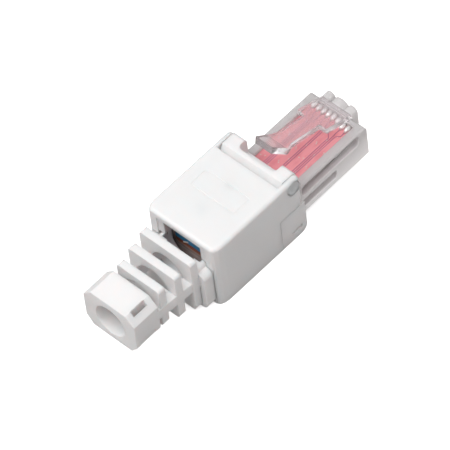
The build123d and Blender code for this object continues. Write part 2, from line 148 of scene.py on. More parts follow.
# How far the foot of the solder lies above the board
SOLDER_LIFT = 0.005 * MM

# The foot diameter of a mound against its top radius, and the corners of solder mounds and via rims
MOUND_TAPER = 3
SOLDER_CORNERS = 24
VIA_CORNERS = 16

# The studio: each light's name, place in metres, size in metres, power in watts and colour
WARM = (1.0, 0.965, 0.96)
LIGHTS = (
    ("key_light", (-0.25, 0.06, 0.9), 0.7, 8.8, (1.0, 1.0, 1.0)),
    ("rear_light", (-0.9, -0.1, 0.35), 0.6, 0.7, WARM),
    ("side_fill", (0.3, -0.9, 0.3), 0.6, 0.1, WARM),
    ("near_fill", (0.09, -0.1, 0.04), 0.05, 0.02, WARM),
)

# The even fill light, the colour of the backdrop, and how far the floor's contact shade reaches
WORLD_FILL = (1.0, 0.94, 0.935)
WORLD_STRENGTH = 0.2
WHITE = (1.0, 1.0, 1.0)
SHADE_REACH = 7 * MM


# Sizes and colours that a user would change


class FieldPlugSizes(bpy.types.PropertyGroup):
    """Sizes of what is added to the frame, in metres."""

    edge_softness: bpy.props.FloatProperty(
        name="Edge softness", description="Radius that moulded edges look rounded to",
        default=0.14 * MM, unit="LENGTH")
    track_width: bpy.props.FloatProperty(
        name="Track width", description="Width of a copper track on the board",
        default=0.16 * MM, unit="LENGTH")
    track_spacing: bpy.props.FloatProperty(
        name="Track spacing", description="Distance between the tracks of one bundle",
        default=0.34 * MM, unit="LENGTH")
    track_height: bpy.props.FloatProperty(
        name="Track height", description="How far a track stands out of the board",
        default=0.035 * MM, unit="LENGTH")
    via_diameter: bpy.props.FloatProperty(
        name="Via diameter", description="Outer diameter of a plated hole in the board",
        default=0.28 * MM, unit="LENGTH")
    pad_diameter: bpy.props.FloatProperty(
        name="Pad diameter", description="Outer diameter of the copper pad under a solder joint",
        default=0.96 * MM, unit="LENGTH")
    pad_stretch: bpy.props.FloatProperty(
        name="Pad stretch", description="Length of a pad against its width",
        default=1.75)
    solder_height: bpy.props.FloatProperty(
        name="Solder height", description="How far a solder joint stands out of the board",
        default=0.55 * MM, unit="LENGTH")
    hinge_hole_radius: bpy.props.FloatProperty(
        name="Hinge hole radius", description="Radius of the hole in the cap's ears",
        default=1.42 * MM, unit="LENGTH")
    hinge_rim: bpy.props.FloatProperty(
        name="Hinge rim", description="Width and depth of the sloping rim in that hole",
        default=0.22 * MM, unit="LENGTH")
    pin_end_radius: bpy.props.FloatProperty(
        name="Pin end radius", description="Radius of the dished end of a hinge pin",
        default=1.185 * MM, unit="LENGTH")
    floor_reach: bpy.props.FloatProperty(
        name="Floor reach", description="Half the side of the studio floor",
        default=4.0, unit="LENGTH")


class FieldPlugColours(bpy.types.PropertyGroup):
    """Colours of the finishes, in scene linear values."""

    housing: bpy.props.FloatVectorProperty(
        name="Housing", description="White moulded plastic",
        default=(0.9, 0.9, 0.9), subtype="COLOR", size=3)
    housing_shade: bpy.props.FloatVectorProperty(
        name="Housing shade", description="White plastic where it is a little warmer",
        default=(0.88, 0.866, 0.863), subtype="COLOR", size=3)
    # Painted shade: a darker, warmer colour for the white plastic inside the housing, where the
    # light is dim
    housing_painted_shade: bpy.props.FloatVectorProperty(
        name="Housing inside",
        description="White plastic inside the housing, where it is dim and warm",
        default=(0.8, 0.7, 0.68), subtype="COLOR", size=3)
    inner: bpy.props.FloatVectorProperty(
        name="Inner plastic",
        description="Off-white plastic of the terminal block and the load bar",
        default=(0.66, 0.57, 0.55), subtype="COLOR", size=3)
    clear: bpy.props.FloatVectorProperty(
        name="Clear plastic", description="Tint of the clear plug",
        default=(0.66, 0.648, 0.652), subtype="COLOR", size=3)
    clear_lever: bpy.props.FloatVectorProperty(
        name="Clear lever", description="Tint of the thinner lever",
        default=(0.9, 0.87, 0.88), subtype="COLOR", size=3)
    board: bpy.props.FloatVectorProperty(
        name="Board", description="Red solder mask",
        default=(0.72, 0.24, 0.27), subtype="COLOR", size=3)
    board_copper: bpy.props.FloatVectorProperty(
        name="Board over copper", description="Red solder mask over a copper field",
        default=(0.79, 0.3, 0.33), subtype="COLOR", size=3)
    track: bpy.props.FloatVectorProperty(
        name="Track", description="Solder mask where a track runs under it",
        default=(0.38, 0.13, 0.2), subtype="COLOR", size=3)
    gold: bpy.props.FloatVectorProperty(
        name="Contact", description="Thin gold plating on the contacts",
        default=(0.6, 0.54, 0.45), subtype="COLOR", size=3)
    tin: bpy.props.FloatVectorProperty(
        name="Tin", description="Tin on the terminals and the solder",
        default=(0.74, 0.73, 0.7), subtype="COLOR", size=3)
    solder: bpy.props.FloatVectorProperty(
        name="Solder", description="Bright solder on the board",
        default=(0.96, 0.955, 0.94), subtype="COLOR", size=3)
    via: bpy.props.FloatVectorProperty(
        name="Via", description="Plated rims of the small holes, under a little solder mask",
        default=(0.82, 0.6, 0.58), subtype="COLOR", size=3)
    label_blue: bpy.props.FloatVectorProperty(
        name="Label blue", description="Blue field of the wiring label",
        default=(0.02, 0.24, 0.46), subtype="COLOR", size=3)
    label_brown: bpy.props.FloatVectorProperty(
        name="Label brown", description="Brown field of the wiring label",
        default=(0.3, 0.085, 0.045), subtype="COLOR", size=3)
    label_outline: bpy.props.FloatVectorProperty(
        name="Label outline", description="Outline of the wiring label's print",
        default=(0.78, 0.5, 0.36), subtype="COLOR", size=3)
    label_film: bpy.props.FloatVectorProperty(
        name="Label film", description="Bare film round the label's print",
        default=(0.36, 0.28, 0.265), subtype="COLOR", size=3)
    label_pale: bpy.props.FloatVectorProperty(
        name="Label pale", description="Pale wedge of the wiring label",
        default=(0.85, 0.82, 0.76), subtype="COLOR", size=3)
    floor: bpy.props.FloatVectorProperty(
        name="Floor", description="Pale studio floor",
        default=(0.5, 0.49, 0.485), subtype="COLOR", size=3)


# Shader helpers


def add_node(tree, kind, settings=None, values=None):
    """One shader or geometry node with its settings and its plain input values."""
    node = tree.nodes.new(kind)
    for name, value in (settings or {}).items():
        setattr(node, name, value)
    for name, value in (values or {}).items():
        node.inputs[name].default_value = value
    return node


def join(tree, source, output, target, entry):
    """A link between two nodes by the names of their sockets."""
    tree.links.new(source.outputs[output], target.inputs[entry])


def paint(colour):
    """A colour with full alpha."""
    return (*colour, 1.0)


def toned(colour, factor):
    """A colour made darker or lighter by a factor."""
    return [min(1.0, channel * factor) for channel in colour]


def calculate(tree, operation, *entries):
    """The value of a math node on sockets and plain numbers."""
    node = add_node(tree, "ShaderNodeMath", {"operation": operation})
    for number, entry in enumerate(entries):
        if isinstance(entry, bpy.types.NodeSocket):
            tree.links.new(entry, node.inputs[number])
        else:
            node.inputs[number].default_value = entry
    return node.outputs[0]


def mixed(tree, mask, first, second):
    """Two colours, or sockets of colours, mixed by a mask."""
    mix = add_node(tree, "ShaderNodeMix", {"data_type": "RGBA"})
    tree.links.new(mask, mix.inputs["Factor"])
    for number, colour in zip(COLOUR_ENTRIES, (first, second)):
        if isinstance(colour, bpy.types.NodeSocket):
            tree.links.new(colour, mix.inputs[number])
        else:
            mix.inputs[number].default_value = paint(colour)
    return mix.outputs[COLOUR_RESULT]


def mixed_shader(tree, share, first, second):
    """Two shaders mixed by a share."""
    mix = tree.nodes.new("ShaderNodeMixShader")
    for number, entry in enumerate((share, first, second)):
        tree.links.new(entry, mix.inputs[number])
    return mix.outputs[0]


def shader_group(name, entries, outputs, fill):
    """A shader group with named sockets, filled once by a function and then shared."""
    if name in bpy.data.node_groups:
        return bpy.data.node_groups[name]
    group = bpy.data.node_groups.new(name, "ShaderNodeTree")
    for direction, sockets in (("INPUT", entries), ("OUTPUT", outputs)):
        for socket, kind in sockets.items():
            group.interface.new_socket(socket, in_out=direction, socket_type=kind)
    fill(group, group.nodes.new("NodeGroupInput"), group.nodes.new("NodeGroupOutput"))
    return group


def fill_moulded_grain(group, entry, leave):
    """Fine noise as height, and broad noise as drift and as roughness between two values."""
    fine = add_node(group, "ShaderNodeTexNoise", values={"Detail": 4.0, "Roughness": 0.6})
    broad = add_node(group, "ShaderNodeTexNoise", values={"Scale": 160.0, "Detail": 2.0})
    spread = group.nodes.new("ShaderNodeMapRange")
    join(group, entry, "Coordinate", fine, "Vector")
    join(group, entry, "Grain Scale", fine, "Scale")
    join(group, entry, "Coordinate", broad, "Vector")
    join(group, broad, "Fac", spread, "Value")
    join(group, entry, "Low Roughness", spread, "To Min")
    join(group, entry, "High Roughness", spread, "To Max")
    join(group, fine, "Fac", leave, "Height")
    join(group, spread, "Result", leave, "Roughness")
    join(group, broad, "Fac", leave, "Drift")


def moulded_grain():
    """Shader group: the faint grain and drift of a moulded surface."""
    entries = {"Coordinate": PLACE, "Grain Scale": NUMBER,
               "Low Roughness": NUMBER, "High Roughness": NUMBER}
    outputs = {"Height": NUMBER, "Roughness": NUMBER, "Drift": NUMBER}
    return shader_group("moulded_grain", entries, outputs, fill_moulded_grain)


def fill_box_mask(group, entry, leave):
    """Compares each axis with the box's centre within half its size, and multiplies the three."""
    splits = []
    for socket in ("Coordinate", "Centre", "Half Size"):
        split = group.nodes.new("ShaderNodeSeparateXYZ")
        join(group, entry, socket, split, "Vector")
        splits.append(split)
    along_x, along_y, along_z = (
        calculate(group, "COMPARE", *(split.outputs[axis] for split in splits)) for axis in "XYZ")
    across = calculate(group, "MULTIPLY", along_x, along_y)
    group.links.new(calculate(group, "MULTIPLY", across, along_z), leave.inputs["Mask"])


def box_mask(tree, place, low, high):
    """The mask of a box in the object's space: one inside it, and zero outside it."""
    group = shader_group("box_mask", {"Coordinate": PLACE, "Centre": PLACE, "Half Size": PLACE},
                         {"Mask": NUMBER}, fill_box_mask)
    mask = add_node(tree, "ShaderNodeGroup", {"node_tree": group},
                    {"Centre": (low + high) / 2, "Half Size": (high - low) / 2})
    join(tree, place, "Object", mask, "Coordinate")
    return mask.outputs["Mask"]


def start_material(name):
    """An empty material with a Principled shader, its output and object coordinates."""
    material = bpy.data.materials.new(name)
    material.use_nodes = True
    tree = material.node_tree
    tree.nodes.clear()
    shader = tree.nodes.new("ShaderNodeBsdfPrincipled")
    output = tree.nodes.new("ShaderNodeOutputMaterial")
    place = tree.nodes.new("ShaderNodeTexCoord")
    join(tree, shader, "BSDF", output, "Surface")
    return material, tree, shader, place


def grain_and_edges(tree, shader, place, scale, low, high, depth, softness):
    """Moulded grain and softened edges on a shader's roughness and normal."""
    grain = add_node(tree, "ShaderNodeGroup", {"node_tree": moulded_grain()},
                     {"Grain Scale": scale, "Low Roughness": low, "High Roughness": high})
    bump = add_node(tree, "ShaderNodeBump", values={"Strength": 0.35, "Distance": depth})
    edge = add_node(tree, "ShaderNodeBevel", {"samples": 6}, {"Radius": softness})
    join(tree, place, "Object", grain, "Coordinate")
    join(tree, grain, "Roughness", shader, "Roughness")
    join(tree, grain, "Height", bump, "Height")
    join(tree, edge, "Normal", bump, "Normal")
    join(tree, bump, "Normal", shader, "Normal")
    return grain


def two_tone(tree, shader, mask, first, second, entry="Base Color"):
    """Two colours mixed by a mask into a colour of the shader."""
    tree.links.new(mixed(tree, mask, first, second), shader.inputs[entry])


def white_plastic(name, colour, shade, inside, sizes):
    """Satin moulded plastic that lets a little light in, with a darker, warmer colour painted
    inside the housing as shade.
    """
    material, tree, shader, place = start_material(name)
    shader.inputs["Specular IOR Level"].default_value = 0.45
    shader.inputs["Subsurface Weight"].default_value = 0.65
    shader.inputs["Subsurface Radius"].default_value = (1.0, 0.8, 0.76)
    shader.inputs["Subsurface Scale"].default_value = 1.6 * MM
    grain = grain_and_edges(tree, shader, place, scale=9000.0, low=0.34, high=0.44,
                            depth=0.01 * MM, softness=sizes.edge_softness)
    outer = mixed(tree, grain.outputs["Drift"], colour, shade)
    # Painted shade: inside this box the plastic takes the darker, warmer colour
    within = box_mask(tree, place, PAINTED_SHADE_LOW, PAINTED_SHADE_HIGH)
    two_tone(tree, shader, within, outer, inside)
    keep_frame_crisp(tree, place, shader)
    return material


def keep_frame_crisp(tree, place, shader):
    """Takes the softened edges off round the shallow name frame, so that it stays faint."""
    bump = shader.inputs["Normal"].links[0].from_node
    soft = bump.inputs["Normal"].links[0].from_socket
    flat = tree.nodes.new("ShaderNodeNewGeometry")
    mix = add_node(tree, "ShaderNodeMix", {"data_type": "VECTOR"})
    on_frame = box_mask(tree, place, NAME_FRAME_LOW, NAME_FRAME_HIGH)
    tree.links.new(on_frame, mix.inputs["Factor"])
    for number, normal in zip(VECTOR_ENTRIES, (soft, flat.outputs["Normal"])):
        tree.links.new(normal, mix.inputs[number])
    tree.links.new(mix.outputs[VECTOR_RESULT], bump.inputs["Normal"])


def fill_painted_scatter_glow(group, entry, leave):
    """Mask of the painted glow: grows downwards on the skin of the sides, and ahead on the front
    end; the larger counts.
    """
    split = group.nodes.new("ShaderNodeSeparateXYZ")
    down = group.nodes.new("ShaderNodeMapRange")
    skin = add_node(group, "ShaderNodeMapRange", values={"To Min": CORE_SHARE})
    ahead = add_node(group, "ShaderNodeMapRange", values={"To Max": FRONT_SHARE})
    join(group, entry, "Coordinate", split, "Vector")
    for reach, first, last in ((down, "Top", "Foot"), (skin, "Skin Start", "Skin End"),
                               (ahead, "Front Start", "Front End")):
        join(group, entry, first, reach, "From Min")
        join(group, entry, last, reach, "From Max")
    join(group, split, "Z", down, "Value")
    join(group, split, "X", ahead, "Value")
    side = calculate(group, "ABSOLUTE", split.outputs["Y"])
    group.links.new(side, skin.inputs["Value"])
    outer = calculate(group, "MULTIPLY", down.outputs["Result"], skin.outputs["Result"])
    most = calculate(group, "MAXIMUM", outer, ahead.outputs["Result"])
    group.links.new(most, leave.inputs["Mask"])


def painted_scatter_glow(tree, shader, place, low, high, glow):
    """Painted glow (emission) in place of the light that milky plastic carries down to its outer
    sides and ahead to its front end.
    """
    entries = {"Coordinate": PLACE}
    reaches = {
        "Top": high.z, "Foot": low.z, "Skin Start": high.y - SKIN_START,
        "Skin End": high.y - SKIN_END, "Front Start": high.x - FRONT_START,
        "Front End": high.x - FRONT_END}
    entries.update({name: NUMBER for name in reaches})
    group = shader_group("painted_scatter_glow", entries, {"Mask": NUMBER}, fill_painted_scatter_glow)
    painted_glow = add_node(tree, "ShaderNodeGroup", {"node_tree": group}, reaches)
    join(tree, place, "Object", painted_glow, "Coordinate")
    # Painted glow: emission by the mask stands in for light scattered inside the plastic
    two_tone(tree, shader, painted_glow.outputs["Mask"], (0.0, 0.0, 0.0), GLOW_COLOUR, "Emission Color")
    shader.inputs["Emission Strength"].default_value = glow


def clear_plastic(name, node, tint, sizes, clearness, glow, roughness):
    """Slightly milky clear plastic with a painted glow, that lets lamps shine on what is under it.
    """
    material, tree, shader, place = start_material(name)
    shader.inputs["Transmission Weight"].default_value = clearness
    shader.inputs["Subsurface Weight"].default_value = 0.8
    shader.inputs["Subsurface Radius"].default_value = (1.0, 0.97, 0.96)
    shader.inputs["Subsurface Scale"].default_value = 3.0 * MM
    shader.inputs["IOR"].default_value = 1.45
    grain = grain_and_edges(tree, shader, place, scale=5000.0, low=roughness, high=roughness + 0.08,
                            depth=0.008 * MM, softness=sizes.edge_softness)
    two_tone(tree, shader, grain.outputs["Drift"], tint, toned(tint, factor=0.95))
    painted_scatter_glow(tree, shader, place, *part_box(node), glow)
    film = add_node(tree, "ShaderNodeBsdfTransparent", values={"Color": paint(tint)})
    path = tree.nodes.new("ShaderNodeLightPath")
    lighting = calculate(tree, "MAXIMUM", path.outputs["Is Shadow Ray"],
                         path.outputs["Is Diffuse Ray"])
    surface = mixed_shader(tree, lighting, shader.outputs["BSDF"], film.outputs["BSDF"])
    tree.links.new(surface, tree.nodes["Material Output"].inputs["Surface"])
    return material


def board_mask(colours):
    """Glossy red solder mask with faint copper fields under it."""
    material, tree, shader, place = start_material("red_solder_mask")
    shader.inputs["Coat Weight"].default_value = 0.35
    shader.inputs["Coat Roughness"].default_value = 0.12
    stretch = add_node(tree, "ShaderNodeMapping", values={"Scale": (0.35, 1.0, 1.0)})
    fields = add_node(tree, "ShaderNodeTexVoronoi", {"distance": "MANHATTAN"}, {"Scale": 900.0})
    edge = add_node(tree, "ShaderNodeMapRange", values={"From Min": 0.25, "From Max": 0.75})
    speck = add_node(tree, "ShaderNodeTexNoise", values={"Scale": 2600.0, "Detail": 3.0})
    rough = add_node(tree, "ShaderNodeMapRange", values={"To Min": 0.28, "To Max": 0.42})
    bump = add_node(tree, "ShaderNodeBump", values={"Strength": 0.3, "Distance": 0.01 * MM})
    join(tree, place, "Object", stretch, "Vector")
    join(tree, stretch, "Vector", fields, "Vector")
    join(tree, place, "Object", speck, "Vector")
    join(tree, fields, "Distance", edge, "Value")
    join(tree, speck, "Fac", rough, "Value")
    join(tree, rough, "Result", shader, "Roughness")
    join(tree, speck, "Fac", bump, "Height")
    join(tree, bump, "Normal", shader, "Normal")
    two_tone(tree, shader, edge.outputs["Result"], colours.board, colours.board_copper)
    return material


def track_mask(colours):
    """Solder mask over a copper track, darker than the board round it."""
    material, tree, shader, place = start_material("track_solder_mask")
    shader.inputs["Coat Weight"].default_value = 0.3
    grain = grain_and_edges(tree, shader, place, scale=3000.0, low=0.3, high=0.42,
                            depth=0.004 * MM, softness=0.02 * MM)
    two_tone(tree, shader, grain.outputs["Drift"], colours.track, toned(colours.track, factor=1.5))
    return material


def plated_metal(name, colour, low, high, metallic=1.0):
    """Bright plated metal with a little drift in its gloss."""
    material, tree, shader, place = start_material(name)
    shader.inputs["Metallic"].default_value = metallic
    grain = grain_and_edges(tree, shader, place, scale=4000.0, low=low, high=high,
                            depth=0.004 * MM, softness=0.04 * MM)
    two_tone(tree, shader, grain.outputs["Drift"], colour, toned(colour, factor=0.85))
    return material


def contact_plating(colours):
    """Gold on the blades and, above the board's upper face, the tin of the solder."""
    material, tree, shader, place = start_material("contact_plating")
    shader.inputs["Metallic"].default_value = 1.0
    grain_and_edges(tree, shader, place, scale=4000.0, low=0.18, high=0.34,
                    depth=0.004 * MM, softness=0.04 * MM)
    split = tree.nodes.new("ShaderNodeSeparateXYZ")
    join(tree, place, "Object", split, "Vector")
    above_board = calculate(tree, "GREATER_THAN", split.outputs["Z"], BOARD_HIGH.z)
    two_tone(tree, shader, above_board, colours.gold, colours.tin)
    return material


def label_print(colours):
    """Printed label: blue over brown in a rounded pale outline, with a pale wedge."""
    material, tree, shader, place = start_material("wiring_label_print")
    shader.inputs["Roughness"].default_value = 0.45
    split = tree.nodes.new("ShaderNodeSeparateXYZ")
    join(tree, place, "Object", split, "Vector")

    across = split.outputs["Y"]
    height = split.outputs["Z"]
    left = LABEL_HIGH.y - LABEL_SIDE_MARGIN - LABEL_CORNER
    low = LABEL_LOW.z + LABEL_LOW_MARGIN + LABEL_CORNER
    past_left = calculate(tree, "MAXIMUM", calculate(tree, "SUBTRACT", across, left), 0.0)
    past_low = calculate(tree, "MAXIMUM", calculate(tree, "SUBTRACT", low, height), 0.0)
    squares = calculate(tree, "ADD", calculate(tree, "MULTIPLY", past_left, past_left),
                        calculate(tree, "MULTIPLY", past_low, past_low))
    reach = calculate(tree, "SQRT", squares)
    outline = calculate(tree, "GREATER_THAN", reach, LABEL_CORNER - LABEL_OUTLINE)
    outside = calculate(tree, "GREATER_THAN", reach, LABEL_CORNER)
    blue_foot = LABEL_LOW.z + LABEL_LOW_MARGIN + LABEL_BROWN
    blue_field = calculate(tree, "GREATER_THAN", height, blue_foot)
    slope = calculate(tree, "MULTIPLY_ADD", across, WEDGE_SLOPE, height)
    middle = WEDGE_HEIGHT + WEDGE_SLOPE * WEDGE_SIDE
    stripe = calculate(tree, "COMPARE", slope, middle, WEDGE_STRIPE)
    near = calculate(tree, "COMPARE", across, WEDGE_SIDE, WEDGE_REACH)
    wedge = calculate(tree, "MULTIPLY", stripe, near)
    fields = mixed(tree, blue_field, colours.label_brown, colours.label_blue)
    inner = mixed(tree, wedge, fields, colours.label_pale)
    print_colour = mixed(tree, outline, inner, colours.label_outline)
    two_tone(tree, shader, outside, print_colour, colours.label_film)
    return material


# Geometry Nodes helpers


def start_tree(name, lengths):
    """A geometry tree with a mesh input, named lengths and a mesh output."""
    tree = bpy.data.node_groups.new(name, "GeometryNodeTree")
    tree.interface.new_socket("Geometry", in_out="INPUT", socket_type="NodeSocketGeometry")
    tree.interface.new_socket("Geometry", in_out="OUTPUT", socket_type="NodeSocketGeometry")
    for length in lengths:
        tree.interface.new_socket(length, in_out="INPUT", socket_type="NodeSocketFloat")
    return tree, tree.nodes.new("NodeGroupInput"), tree.nodes.new("NodeGroupOutput")


def finish_tree(tree, source, output, leave, material):
    """Realize Instances and Set Material at the end of a tree."""
    real = tree.nodes.new("GeometryNodeRealizeInstances")
    coat = add_node(tree, "GeometryNodeSetMaterial", values={"Material": material})
    join(tree, source, output, real, "Geometry")
    join(tree, real, "Geometry", coat, "Geometry")
    join(tree, coat, "Geometry", leave, "Geometry")


def ribbon_tree(material):
    """Geometry tree: flat ribbons of one width and height along the edges of a mesh."""
    tree, entry, leave = start_tree("board_ribbons", ("Width", "Height"))
    curve = tree.nodes.new("GeometryNodeMeshToCurve")
    section = add_node(tree, "GeometryNodeCurvePrimitiveQuadrilateral", {"mode": "RECTANGLE"})
    sweep = add_node(tree, "GeometryNodeCurveToMesh", values={"Fill Caps": True})
    join(tree, entry, "Geometry", curve, "Mesh")
    join(tree, entry, "Width", section, "Width")
    join(tree, entry, "Height", section, "Height")
    join(tree, curve, "Curve", sweep, "Curve")
    join(tree, section, "Curve", sweep, "Profile Curve")
    finish_tree(tree, sweep, "Mesh", leave, material)
    return tree


def mound_tree(name, material, corners):
    """Geometry tree: a small smooth cone on each point of a mesh."""
    tree, entry, leave = start_tree(name, ("Foot Radius", "Top Radius", "Rise", "Stretch"))
    cone = add_node(tree, "GeometryNodeMeshCone", values={"Vertices": corners})
    smooth = add_node(tree, "GeometryNodeSetShadeSmooth")
    spots = tree.nodes.new("GeometryNodeInstanceOnPoints")
    join(tree, entry, "Top Radius", cone, "Radius Top")
    join(tree, entry, "Foot Radius", cone, "Radius Bottom")
    join(tree, entry, "Rise", cone, "Depth")
    join(tree, cone, "Mesh", smooth, "Geometry")
    join(tree, entry, "Geometry", spots, "Points")
    join(tree, smooth, "Geometry", spots, "Instance")
    size = add_node(tree, "ShaderNodeCombineXYZ", values={"Y": 1.0, "Z": 1.0})
    join(tree, entry, "Stretch", size, "X")
    join(tree, size, "Vector", spots, "Scale")
    finish_tree(tree, spots, "Instances", leave, material)
    return tree


def grow(name, points, edges, tree, values):
    """Runs a geometry tree on points and edges, and returns the result as a plain mesh object."""
    seed_mesh = bpy.data.meshes.new(f"{name}_points")
    seed_mesh.from_pydata(points, edges, [])
    seed = bpy.data.objects.new(f"{name}_points", seed_mesh)
    bpy.context.scene.collection.objects.link(seed)
    modifier = seed.modifiers.new("grow", "NODES")
    modifier.node_group = tree
    for item in tree.interface.items_tree:
        if item.in_out == "INPUT" and item.name in values:
            modifier[item.identifier] = values[item.name]
    graph = bpy.context.evaluated_depsgraph_get()
    mesh = bpy.data.meshes.new_from_object(seed.evaluated_get(graph))
    mesh.name = name
    seed.modifiers.clear()
    bpy.data.objects.remove(seed)
    piece = bpy.data.objects.new(name, mesh)
    bpy.context.scene.collection.objects.link(piece)
    return piece


def turned(name, centre, side, section):
    """A closed section of radius and depth below the cap's side, turned about the Y axis."""
    points = []
    faces = []
    corners = len(section)
    for step in range(TURN_STEPS):
        turn = 2 * pi * step / TURN_STEPS
        for reach, depth in section:
            points.append((centre.x + reach * cos(turn), side * (CAP_HIGH.y - depth),
                           centre.z + reach * sin(turn)))
        for corner in range(corners):
            here = corners * step
            there = corners * ((step + 1) % TURN_STEPS)
            after = (corner + 1) % corners
            faces.append((here + corner, there + corner, there + after, here + after))
    if side < 0:
        faces = [face[::-1] for face in faces]
    mesh = bpy.data.meshes.new(name)
    mesh.from_pydata(points, [], faces)
    mesh.shade_smooth()
    mesh.set_sharp_from_angle(angle=radians(SHARP_ANGLE))
    piece = bpy.data.objects.new(name, mesh)
    bpy.context.scene.collection.objects.link(piece)
    return piece


def dress(node, material):
    """Gives a CAD node its material."""
    mesh = frame["nodes"][node].data
    mesh.materials.clear()
    mesh.materials.append(material)


def way_y(number):
    """Side position of one way of the plug."""
    return (CONTACT_LOW.y + CONTACT_HIGH.y) / 2 + number * CONTACT_PITCH


# Operators


class WhiteHousing(bpy.types.Operator):
    """Gives the base, cap, bend relief and inner blocks their white plastic."""

    bl_idname = "field_plug.white_housing"
    bl_label = "White housing"

    def execute(self, context):
        sizes = context.scene.field_plug_sizes
        colours = context.scene.field_plug_colours
        outside = white_plastic("white_housing_plastic", colours.housing, colours.housing_shade,
                                colours.housing_painted_shade, sizes)
        inside = white_plastic("inner_plastic", colours.inner, toned(colours.inner, factor=0.96),
                               colours.inner, sizes)
        for node in ("base", "hinged_cap", "bend_relief"):
            dress(node, outside)
        for node in ("terminal_block", "load_bar"):
            dress(node, inside)
        self.finish_hinge(sizes, outside)
        return {"FINISHED"}

    def finish_hinge(self, sizes, plastic):
        """Sloping rims in the cap's ear holes and dished round ends on the base's pins."""
        outer = sizes.hinge_hole_radius
        inner = outer - sizes.hinge_rim
        rim = ((outer, 0.0), (inner, sizes.hinge_rim), (outer, sizes.hinge_rim))
        edge = sizes.pin_end_radius
        end = [(DISH_MIDDLE, PIN_SETBACK), (edge, PIN_SETBACK)]
        for share in DISH_RINGS:
            fall = (PIN_DEPTH - DISH_DEPTH) * share ** DISH_POWER
            end.append((share * edge, DISH_DEPTH + fall))
        end.append((DISH_MIDDLE, DISH_DEPTH))
        parts = (("hinge_rim", rim, "cap"), ("hinge_pin_end", end, "housing"))
        for name, side in (("left", 1), ("right", -1)):
            for part, section, body in parts:
                piece = turned(f"{part}_{name}", HINGE, side, section)
                piece.data.materials.append(plastic)
                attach(piece, body)


class ClearPlug(bpy.types.Operator):
    """Gives the plug shell and the latch lever their clear plastic."""

    bl_idname = "field_plug.clear_plug"
    bl_label = "Clear plug"

    def execute(self, context):
        sizes = context.scene.field_plug_sizes
        colours = context.scene.field_plug_colours
        dress("plug_shell", clear_plastic(
            "clear_shell_plastic", "plug_shell", colours.clear, sizes,
            clearness=0.26, glow=0.32, roughness=0.14))
        dress("latch_lever", clear_plastic(
            "clear_lever_plastic", "latch_lever", colours.clear_lever, sizes,
            clearness=0.88, glow=0.07, roughness=0.03))
        return {"FINISHED"}


class CircuitBoard(bpy.types.Operator):
    """Dresses the board and lays its tracks, plated holes, pads and solder."""

    bl_idname = "field_plug.circuit_board"
    bl_label = "Circuit board"

    def execute(self, context):
        sizes = context.scene.field_plug_sizes
        colours = context.scene.field_plug_colours
        dress("circuit_board", board_mask(colours))
        tin = plated_metal("solder_tin", colours.solder, low=0.3, high=0.45, metallic=0.35)
        rims = plated_metal("via_plating", colours.via, low=0.35, high=0.5, metallic=0.35)
        top = BOARD_HIGH.z
        row_x = BOARD_HIGH.x - ROW_SETBACK * MM
        self.lay_tracks(sizes, colours, top, row_x)
        self.drill_vias(sizes, rims, top, row_x)
        pads = [(row_x, way_y(number), top + SOLDER_LIFT) for number in range(WAYS)]
        tree = mound_tree("solder_mounds", tin, SOLDER_CORNERS)
        solder = grow("solder_joints", pads, [], tree, {
            "Foot Radius": sizes.pad_diameter / 2,
            "Top Radius": sizes.pad_diameter / MOUND_TAPER,
            "Rise": sizes.solder_height, "Stretch": sizes.pad_stretch})
        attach(solder, "housing")
        return {"FINISHED"}

    def lay_tracks(self, sizes, colours, top, row_x):
        """Eight tracks that fan out from their bundles to the solder row."""
        points = []
        edges = []
        back_x = BASE_HIGH.x - TRACK_END * MM
        lanes = [middle + (place - (count - 1) / 2) * sizes.track_spacing
                 for middle, count in TRACK_BUNDLES for place in range(count)]
        for number, lane in enumerate(lanes):
            y = way_y(number)
            bend_x = row_x - (TRACK_BEND + TRACK_STAGGER * (number % TRACK_STEPS)) * MM
            route = [(row_x, y), (bend_x, y), (bend_x - abs(lane - y), lane), (back_x, lane)]
            start = len(points)
            points += [(x, side, top) for x, side in route]
            edges += [(start + k, start + k + 1) for k in range(len(route) - 1)]
        tracks = grow("board_tracks", points, edges, ribbon_tree(track_mask(colours)), {
            "Width": sizes.track_width, "Height": 2 * sizes.track_height})
        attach(tracks, "housing")

    def drill_vias(self, sizes, rims, top, row_x):
        """Small plated holes in a loose pattern between the tracks."""
        spots = []
        for number in range(VIAS_PER_WAY * WAYS):
            x = row_x - (VIA_FIRST + VIA_STEP * ((number * VIA_STRIDE) % VIA_STEPS)) * MM
            lane = number % VIA_LANES - VIA_LANES // 2
            y = way_y(number % WAYS) + lane * CONTACT_PITCH / (VIA_LANES + 1)
            spots.append((x, y, top))
        tree = mound_tree("via_rims", rims, VIA_CORNERS)
        vias = grow("board_vias", spots, [], tree, {
            "Foot Radius": sizes.via_diameter / 2,
            "Top Radius": sizes.via_diameter / MOUND_TAPER,
            "Rise": VIA_HEIGHT, "Stretch": 1.0})
        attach(vias, "housing")


class Contacts(bpy.types.Operator):
    """Gives the contacts their gold and the wire terminals their tin."""

    bl_idname = "field_plug.contacts"
    bl_label = "Contacts and terminals"

    def execute(self, context):
        colours = context.scene.field_plug_colours
        gold = contact_plating(colours)
        tin = plated_metal("terminal_tin", colours.tin, low=0.25, high=0.4)
        for number in range(1, WAYS + 1):
            dress(f"contact_{number}", gold)
            dress(f"wire_terminal_{number}", tin)
        return {"FINISHED"}


class WiringLabel(bpy.types.Operator):
    """Prints the wiring label."""

    bl_idname = "field_plug.wiring_label"
    bl_label = "Wiring label"

    def execute(self, context):
        dress("wiring_label", label_print(context.scene.field_plug_colours))
        return {"FINISHED"}


